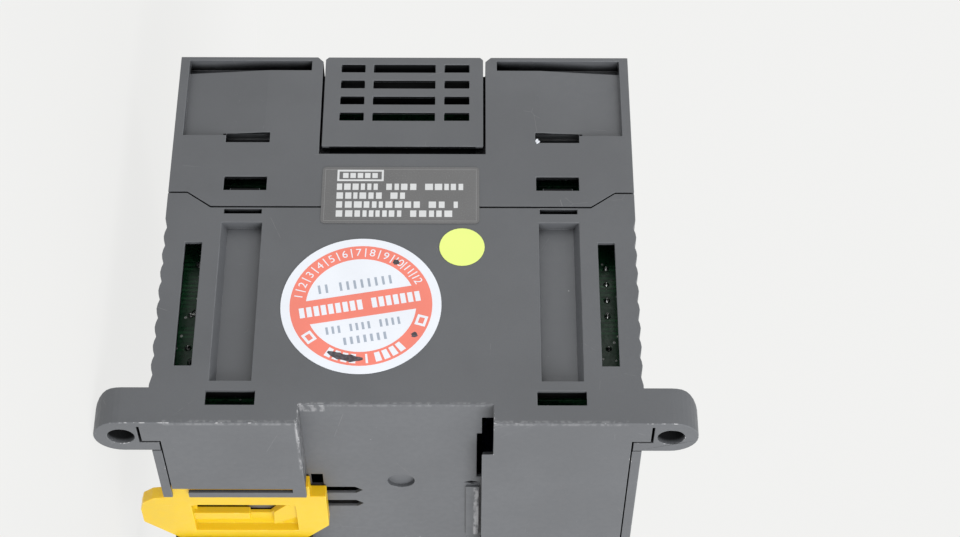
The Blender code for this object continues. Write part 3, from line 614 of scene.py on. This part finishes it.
def sheet(name, node, outline, surface):
    """Adhesive sheet in a CAD node's place, thinner by the room that its print needs."""
    across = box_mm(node)[0]
    mesh = bmesh.new()
    prism(mesh, outline, across[0], across[1] - PRINT_ROOM)
    piece = piece_from(name, mesh, surface)
    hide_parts(node)
    return piece


def printed(name, node, outlines, surface, layer):
    """One ink layer of a sheet, made of many outlines; layer 0 lies on the sheet itself."""
    base = box_mm(node)[0][1] - PRINT_ROOM + layer * PRINT
    mesh = bmesh.new()
    for outline in outlines:
        prism(mesh, outline, base, base + PRINT)
    return piece_from(name, mesh, surface)


def bar(u, v, width, height):
    """Rectangle with its low corner at (u, v)."""
    return [(u, v), (u + width, v), (u + width, v + height), (u, v + height)]


def hollow_box(u, v, width, height, line):
    """Four bars that outline a rectangle."""
    return [
        bar(u, v, width, line),
        bar(u, v + height - line, width, line),
        bar(u, v + line, line, height - 2 * line),
        bar(u + width - line, v + line, line, height - 2 * line),
    ]


def dashes(words, u, v, height, pitch, fill=0.74):
    """A line of plain upright dashes in groups; words gives the number of dashes in each group."""
    marks = []
    for count in words:
        marks += [bar(u + i * pitch, v, pitch * fill, height) for i in range(count)]
        u += (count + 1) * pitch
    return marks


def uneven_dashes(words, u, v, height, pitch, chance):
    """The same, with dashes of mixed widths and gaps."""
    marks = []
    for count in words:
        for _ in range(count):
            width = pitch * chance.uniform(0.42, 0.85)
            marks.append(bar(u, v, width, height))
            u += width + pitch * chance.uniform(0.2, 0.3)
        u += pitch * 0.7
    return marks


def centred_dashes(words, v, height, pitch, fill=0.74):
    """The same, centred on u = 0 and on v."""
    length = (sum(words) + len(words) - 1) * pitch
    return dashes(words, -length / 2, v - height / 2, height, pitch, fill)


def rounded_sheet(across, depth, radius, steps=6):
    """Outline of a rectangle with rounded corners, in (z, d)."""
    points = []
    corners = ((across[1], depth[1]), (across[0], depth[1]), (across[0], depth[0]), (across[1], depth[0]))
    for quarter, (z, d) in enumerate(corners):
        centre_z = z - math.copysign(radius, z - middle(across))
        centre_d = d - math.copysign(radius, d - middle(depth))
        for i in range(steps + 1):
            turn = math.pi / 2 * (quarter + i / steps)
            points.append((centre_z + radius * math.cos(turn), centre_d + radius * math.sin(turn)))
    return points


def ring_part(inner, outer, start, end, steps=1):
    """Outline of a ring segment between two angles in degrees."""
    angles = [math.radians(start + (end - start) * i / steps) for i in range(steps + 1)]
    outside = [(outer * math.cos(a), outer * math.sin(a)) for a in angles]
    inside = [(inner * math.cos(a), inner * math.sin(a)) for a in reversed(angles)]
    return outside + inside


def disc(u, v, radius, steps=64, wobble=0.0, chance=None):
    """Round outline, made uneven by a share of its radius."""
    points = []
    for i in range(steps):
        turn = 2 * math.pi * i / steps
        r = radius * (1 + wobble * chance.uniform(-1, 1)) if wobble else radius
        points.append((u + r * math.cos(turn), v + r * math.sin(turn)))
    return points


def connector_sheet():
    """Dark sheet over the expansion connector, with an outlined heading and four lines of dashes."""
    chance = random.Random(SEED)
    node = "connector_label"
    _, depth, across = box_mm(node)
    sheet("label_sheet", node, rounded_sheet(across, depth, 0.8), film("label_film", FILM, 0.24))
    left = across[0] + LABEL_MARGIN
    heading = depth[1] - HEADING_DROP
    shapes = hollow_box(left, heading, 9.0, HEADING_HEIGHT, 0.4)
    shapes += dashes((5,), left + 1.1, heading + 0.75, HEADING_HEIGHT - 1.5, 1.42)
    for row, words in enumerate(LABEL_WORDS):
        v = heading - 0.6 - LABEL_LINE - row * LABEL_PITCH
        shapes += uneven_dashes(words, left, v, LABEL_LINE, LABEL_DASH, chance)
    printed("label_dashes", node, shapes, film("label_ink", BAR_WHITE, 0.42), 0)
    inset = 0.55
    span = across[1] - across[0] - 2 * inset
    rim = hollow_box(across[0] + inset, depth[0] + inset, span, depth[1] - depth[0] - 2 * inset, 0.1)
    printed("label_rim", node, rim, film("label_rim_ink", shaded(FILM, 1.7), 0.3), 0)


def on_sticker(outline):
    """Move an outline from the sticker's own turned axes to (z, d)."""
    _, depth, across = box_mm("inspection_sticker")
    cos, sin = math.cos(STICKER_TURN), math.sin(STICKER_TURN)
    centre = (middle(across), middle(depth))
    return [(centre[0] + u * cos - v * sin, centre[1] + u * sin + v * cos) for u, v in outline]


def sticker_layer(name, shapes, surface, layer):
    """Ink layer whose shapes are given in the sticker's own axes."""
    return printed(name, "inspection_sticker", [on_sticker(s) for s in shapes], surface, layer)


def cell_angle(cell):
    """Angle in degrees at which a dial cell starts; cells run clockwise over the upper half ring."""
    start = 180 - math.degrees(math.asin(BAND_HALF / RING_MID))
    return start - cell * (2 * start - 180) / DIAL_CELLS


def turned_bars(shapes, angle, radius):
    """Shapes around (0, 0) moved out along an angle in degrees and turned to face outward."""
    a = math.radians(angle)
    turn = a - math.pi / 2
    cos, sin = math.cos(turn), math.sin(turn)
    centre = (radius * math.cos(a), radius * math.sin(a))
    return [[(centre[0] + u * cos - v * sin, centre[1] + u * sin + v * cos) for u, v in s] for s in shapes]


def dial_number(number, surface):
    """One dial number as a thin solid, upright towards the sticker's rim."""
    text = bpy.data.curves.new("dial_number", "FONT")
    text.body = str(number)
    text.size = NUMBER_SIZE * MM
    text.extrude = PRINT / 2 * MM
    text.align_x = "CENTER"
    text.align_y = "CENTER"
    text.space_character = 0.9
    holder = bpy.data.objects.new("dial_number", text)
    bpy.context.scene.collection.objects.link(holder)
    evaluated = holder.evaluated_get(bpy.context.evaluated_depsgraph_get())
    data = bpy.data.meshes.new_from_object(evaluated)
    bpy.data.objects.remove(holder)
    angle = math.radians(cell_angle(number - 0.5))
    spot = on_sticker([(RING_MID * math.cos(angle), RING_MID * math.sin(angle))])[0]
    turn = angle - math.pi / 2 + STICKER_TURN
    right = place(0, math.sin(turn), math.cos(turn)) - place(0, 0, 0)
    up = place(0, math.cos(turn), -math.sin(turn)) - place(0, 0, 0)
    out = box_mm("inspection_sticker")[0][1] - PRINT_ROOM + 1.5 * PRINT
    centre = place(out, spot[1], spot[0])
    for vertex in data.vertices:
        x, y, z = vertex.co
        vertex.co = centre + (right * x + up * y) / MM + Vector((z, 0, 0))
    data.materials.clear()
    data.materials.append(surface)
    piece = bpy.data.objects.new(f"dial_number_{number}", data)
    bpy.context.scene.collection.objects.link(piece)
    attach(piece, "case")
    return piece


def band_outline():
    """Band across the disc, with ends that follow the ring's inner edge."""
    reach = math.asin(BAND_HALF / RING_IN)
    points = []
    for centre in (0, math.pi):
        for i in range(9):
            turn = centre + reach * (i / 4 - 1)
            points.append((RING_IN * math.cos(turn), RING_IN * math.sin(turn)))
    return points


def round_sticker():
    """White disc with a salmon ring and band, a twelve part dial, plain dashes and pen marks."""
    chance = random.Random(SEED)
    node = "inspection_sticker"
    across = box_mm(node)[2]
    radius = (across[1] - across[0]) / 2
    paper = film("sticker_paper", PAPER, 0.38, 0.03)
    sheet("sticker_disc", node, on_sticker(disc(0, 0, radius, 96)), paper)
    red = [ring_part(RING_IN, RING_OUT, 5 * i, 5 * i + 5) for i in range(72)]
    red.append(band_outline())
    sticker_layer("sticker_red", red, film("sticker_red_ink", SALMON, 0.36, 0.05), 0)
    white = [
        ring_part(RING_IN + 0.5, RING_OUT - 0.5, cell_angle(i) - 0.5, cell_angle(i) + 0.5)
        for i in range(1, DIAL_CELLS)
    ]
    white += centred_dashes((9, 7), 0.1, 2.2, 1.36, 0.7)
    for angle in (207, -27):
        white += turned_bars(hollow_box(-1.15, -1.0, 2.3, 2.0, 0.5), angle, RING_MID)
    for start, end in ((229, 259), (274, 304)):
        step = (end - start) / 4
        white += [
            ring_part(RING_IN + 0.5, RING_OUT - 0.5, start + step * i, start + step * (i + 0.7))
            for i in range(4)
        ]
    white += [ring_part(RING_IN + 0.5, RING_OUT - 0.5, 265.4, 267.4)]
    sticker_layer("sticker_white", white, paper, 1)
    for number in range(1, DIAL_CELLS + 1):
        dial_number(number, paper)
    grey = centred_dashes((2, 8), 4.7, 1.9, 1.34, 0.34)
    grey += centred_dashes((3, 4, 4), -4.6, 1.6, 1.12, 0.4)
    grey += centred_dashes((7,), -7.4, 1.6, 1.25, 0.4)
    sticker_layer("sticker_grey", grey, film("sticker_grey_ink", INK_GREY, 0.4), 1)
    pen = [disc(*spot, size, 14, 0.2, chance) for *spot, size in PEN_SPOTS]
    pen.append(pen_stroke(chance))
    sticker_layer("sticker_pen", pen, pen_ink("pen_ink"), 2)


def pen_stroke(chance):
    """Uneven felt pen stroke over the first group of dashes in the lower ring."""
    upper, lower = [], []
    for i in range(13):
        angle = math.radians(230 + 33 * i / 12)
        half = 0.85 * math.sin(math.pi * (i + 1.2) / 14.4) * (1 + 0.3 * chance.uniform(-1, 1))
        upper.append(((RING_MID + half) * math.cos(angle), (RING_MID + half) * math.sin(angle)))
        lower.append(((RING_MID - half) * math.cos(angle), (RING_MID - half) * math.sin(angle)))
    return upper + lower[::-1]


# Small parts that only the looks need


def drop(mesh, centre, axis_sign, radius, rise, steps=10, rings=4):
    """Add a solder fillet that stands on a board, along x, with a cut lead at its tip."""
    x0, d0, z0 = centre
    loops = []
    for k in range(rings + 1):
        share = k / rings
        r = radius * (1 - share) ** 1.6 + 0.22 * radius
        x = x0 + axis_sign * rise * share
        ring = []
        for i in range(steps):
            turn = 2 * math.pi * i / steps
            ring.append(mesh.verts.new(place(x, d0 + r * math.cos(turn), z0 + r * math.sin(turn))))
        loops.append(ring)
    for low, high in zip(loops, loops[1:]):
        for i in range(steps):
            j = (i + 1) % steps
            mesh.faces.new((low[i], low[j], high[j], high[i]))
    mesh.faces.new(loops[0])
    mesh.faces.new(loops[-1])


def joint_spots(board, parts, chance):
    """Places of the solder joints behind the parts that stand on a board, and along its long edges."""
    _, depth, across = box_mm(board)
    spots = []
    for part in parts:
        _, part_depth, part_across = box_mm(part)
        for d in (part_depth[0] + 2, middle(part_depth), part_depth[1] - 2):
            for z in (part_across[0] + 1.8, part_across[1] - 1.8):
                spots.append((d, z, 1.0))
    rows = int((depth[1] - depth[0] - 8) / JOINT_PITCH)
    for edge, share in ((across[0] + 2.2, 0.2), (across[1] - 2.2, 0.4)):
        for i in range(rows):
            if chance.random() < share:
                spots.append((depth[0] + 4 + i * JOINT_PITCH, edge, 0.6))
    return spots


def solder_side(name, board, parts, sign, surface):
    """All solder joints on a side board's outer face."""
    chance = random.Random(SEED + sign)
    outer = box_mm(board)[0][1 if sign > 0 else 0]
    mesh = bmesh.new()
    for d, z, size in joint_spots(board, parts, chance):
        radius = JOINT_R * size * chance.uniform(0.85, 1.1)
        drop(mesh, (outer, d, z), sign, radius, JOINT_RISE * chance.uniform(0.8, 1.1))
    piece = piece_from(name, mesh, surface)
    for face in piece.data.polygons:
        face.use_smooth = True
    return piece


def chip_box(mesh, centre, size):
    """Add a small box, given its centre and size in (x, d, z)."""
    x, d, z = centre
    outline = bar(z - size[2] / 2, d - size[1] / 2, size[2], size[1])
    prism(mesh, outline, x - size[0] / 2, x + size[0] / 2)


def surface_chips(name, board, sign, ends, bodies):
    """Rows of small surface-mounted parts, dark bodies between bright ends, on a board's outer face."""
    chance = random.Random(SEED * 3 + sign)
    across, depth, height = box_mm(board)
    outer = across[1 if sign > 0 else 0]
    body_mesh, end_mesh = bmesh.new(), bmesh.new()
    for row in range(CHIP_ROWS):
        z = height[0] + CHIP_MARGIN[1] + row * CHIP_ROW_PITCH
        for column in range(CHIP_COLUMNS):
            if chance.random() < CHIP_GAPS:
                continue
            d = depth[0] + CHIP_MARGIN[0] + column * CHIP_COLUMN_PITCH + chance.uniform(-1.5, 1.5)
            x = outer + sign * CHIP[0] / 2
            chip_box(body_mesh, (x, d, z), CHIP)
            for side in (-1, 1):
                end = (x, d + side * (CHIP[1] + 0.5) / 2, z)
                chip_box(end_mesh, end, (CHIP[0], CHIP_END, CHIP[2]))
    piece_from(f"{name}_bodies", body_mesh, bodies)
    piece_from(f"{name}_ends", end_mesh, ends)


def residue():
    """Scrap of white packing material caught in the corner of the upper front snap slot."""
    chance = random.Random(SEED)
    face = box_mm("front_case")[0][1]
    mesh = bmesh.new()
    bmesh.ops.create_icosphere(mesh, subdivisions=3, radius=1)
    centre = place(face - 0.25, SCRAP_D, SCRAP_Z)
    for vertex in mesh.verts:
        lump = 1 + 0.18 * math.sin(5 * vertex.co.y + 3 * vertex.co.z) + chance.uniform(-0.05, 0.05)
        x, y, z = vertex.co * lump
        vertex.co = centre + Vector((SCRAP_SIZE[0] * x, SCRAP_SIZE[1] * y, SCRAP_SIZE[2] * z)) * MM
    piece = piece_from("packing_scrap", mesh, film("packing_foam", PAPER, 0.8, 0.1))
    return piece


def front_bars(name, body, node, shapes, surface):
    """Thin printed bars on a front face; shapes are outlines in (x, z)."""
    depth = box_mm(node)[1][1]
    mesh = bmesh.new()
    for outline in shapes:
        rings = [[mesh.verts.new(place(x, d, z)) for x, z in outline] for d in (depth, depth + PRINT)]
        count = len(outline)
        for i in range(count):
            j = (i + 1) % count
            mesh.faces.new((rings[0][i], rings[0][j], rings[1][j], rings[1][i]))
        mesh.faces.new(rings[0])
        mesh.faces.new(rings[1])
    return piece_from(name, mesh, surface, body)


def front_prints():
    """Terminal ticks on the hinged covers."""
    ink = film("front_ink", BAR_WHITE, 0.45)
    for row, body in (("upper", "upper_lid"), ("lower", "lower_lid")):
        cover = f"{row}_terminal_cover"
        across = box_mm(cover)[2]
        sign = 1 if row == "upper" else -1
        edge = across[1] - 2.2 if sign > 0 else across[0] + 2.2
        ticks = []
        for number in range(1, 10):
            x = middle(box_mm(f"{row}_terminal_screw_{number}")[0])
            ticks.append(bar(x - 0.25, edge - 0.9, 0.5, 1.8))
        front_bars(f"{row}_ticks", body, cover, ticks, ink)


def small_parts():
    """Solder, chips, printed ticks and the scrap in the snap slot."""
    tin = metal("solder", TIN, 0.3)
    dark = moulded("chip_plastic", BLACK, BLACK_WORN, dust=0.5)
    right = ("relay_1", "relay_2", "relay_3", "backup_battery", "board_connector_right")
    left = ("capacitor_large", "capacitor_small", "transformer_core", "board_connector_left")
    solder_side("solder_right", "output_board", right, 1, tin)
    solder_side("solder_left", "power_board", left, -1, tin)
    surface_chips("chips_right", "output_board", 1, tin, dark)
    surface_chips("chips_left", "power_board", -1, tin, dark)
    residue()
    front_prints()


# Studio


def studio_floor():
    """Pale floor just under the module, which fades into the backdrop with distance."""
    low, high = CAD_BOX
    mesh = bmesh.new()
    centre = ((low.x + high.x) / 2, (low.y + high.y) / 2)
    bmesh.ops.create_circle(mesh, cap_ends=True, segments=96, radius=FLOOR_RADIUS)
    data = bpy.data.meshes.new("floor")
    mesh.to_mesh(data)
    mesh.free()
    floor = bpy.data.objects.new("floor", data)
    floor.location = (centre[0], centre[1], low.z - FLOOR_DROP * MM)
    bpy.context.scene.collection.objects.link(floor)
    g = Graph("floor")
    flat = g.scaled((1, 1, 0))
    away = g.add("VectorMath", {0: flat}, operation="LENGTH").outputs["Value"]
    far = g.remap(away, FLOOR_NEAR, FLOOR_FAR, FLOOR_GLOW, 1)
    matt = g.mix(g.remap(g.noise(0.02, 3), 0.3, 0.7), shaded(FLOOR, 0.75), shaded(FLOOR, 0.77))
    near = g.add("BsdfPrincipled", {"Base Color": matt, "Roughness": 0.9})
    glow = g.add("Emission", {"Color": g.mix(far, FLOOR, BACKDROP), "Strength": 1.0})
    blend = g.add("MixShader", {0: far, 1: near.outputs[0], 2: glow.outputs[0]})
    g.add("OutputMaterial", {0: blend.outputs[0]})
    data.materials.append(g.material)


def softbox(name, position, size, power):
    """Square area light aimed at the module's middle."""
    low, high = CAD_BOX
    lamp = bpy.data.lights.new(name, "AREA")
    lamp.size = size
    lamp.energy = power
    light = bpy.data.objects.new(name, lamp)
    light.location = position
    aim = (low + high) / 2 - light.location
    light.rotation_euler = aim.to_track_quat("-Z", "Y").to_euler()
    bpy.context.scene.collection.objects.link(light)


def backdrop():
    """Even pale surroundings."""
    world = bpy.data.worlds.new("backdrop")
    world.use_nodes = True
    background = next(n for n in world.node_tree.nodes if n.type == "BACKGROUND")
    background.inputs["Color"].default_value = opaque(BACKDROP)
    background.inputs["Strength"].default_value = 1.0
    bpy.context.scene.world = world
    bpy.context.scene.view_settings.view_transform = "Standard"


def camera():
    """View onto the right side face and the rear face, rolled so that the front is up."""
    lens = bpy.data.cameras.new("camera")
    lens.lens = LENS
    lens.sensor_width = 36.0
    lens.clip_start = 0.01
    eye = bpy.data.objects.new("camera", lens)
    eye.location = place(*CAMERA_PLACE)
    eye.rotation_euler = Euler([math.radians(a) for a in CAMERA_TURN], "XYZ")
    bpy.context.scene.collection.objects.link(eye)
    bpy.context.scene.camera = eye


def build():
    """The whole scene."""
    dress_case()
    dress_electrics()
    connector_sheet()
    round_sticker()
    soften("colour_dot", film("dot_paper", LIME, 0.5, 0.04), width=0.03)
    small_parts()
    studio_floor()
    softbox("rear_softbox", *REAR_LAMP)
    softbox("front_softbox", *FRONT_LAMP)
    backdrop()
    camera()


build()
